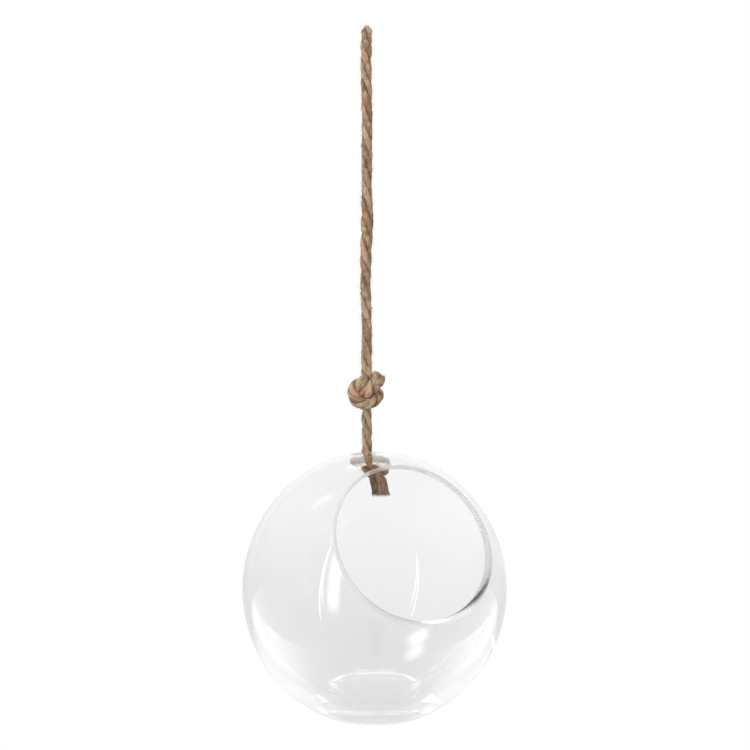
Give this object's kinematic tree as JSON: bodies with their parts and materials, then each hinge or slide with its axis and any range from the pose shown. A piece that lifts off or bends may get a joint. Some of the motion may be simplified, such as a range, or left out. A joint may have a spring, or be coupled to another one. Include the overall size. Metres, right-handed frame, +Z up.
{
  "type": "hanging globe vase",
  "caption": "Clear glass globe vase with a round side opening, a thick flat base and a rope through its top, tied below in a stopper knot and above into a long hanging loop.",
  "frame": {"origin": "the underside of the hanging loop's fold, where the hook carries it", "axes": "+Z up along the hanging rope, the round side opening faces -Y, turned 24 degrees towards +X and tipped 32 degrees up"},
  "size_m": [0.2, 0.2, 0.5208],
  "materials": {
    "clear_glass": "clear, glossy, fire-polished edges",
    "jute_rope": "three-strand laid rope, matt, hairy"
  },
  "bodies": {
    "loop": {"hanging_loop": "jute_rope", "loop_knot": "jute_rope", "loop_tail": "jute_rope"},
    "drop": {"rope_drop": "jute_rope"},
    "stopper": {"stopper_knot": "jute_rope", "stopper_tail": "jute_rope"},
    "globe": {"glass_globe": "clear_glass"}
  },
  "joints": [
    {"name": "rope_swing", "type": "hinge", "parent": "loop", "child": "drop", "pos_m": [0, 0, -0.28427], "axis": [0, 1, 0], "range_deg": [-20, 20]},
    {"name": "globe_spin", "type": "hinge", "parent": "drop", "child": "stopper", "pos_m": [0, 0, -0.32081], "axis": [0, 0, 1], "continuous": true},
    {"name": "globe_lift", "type": "slide", "parent": "stopper", "child": "globe", "axis": [0, 0, 1], "range_m": [0, 0.025]}
  ]
}
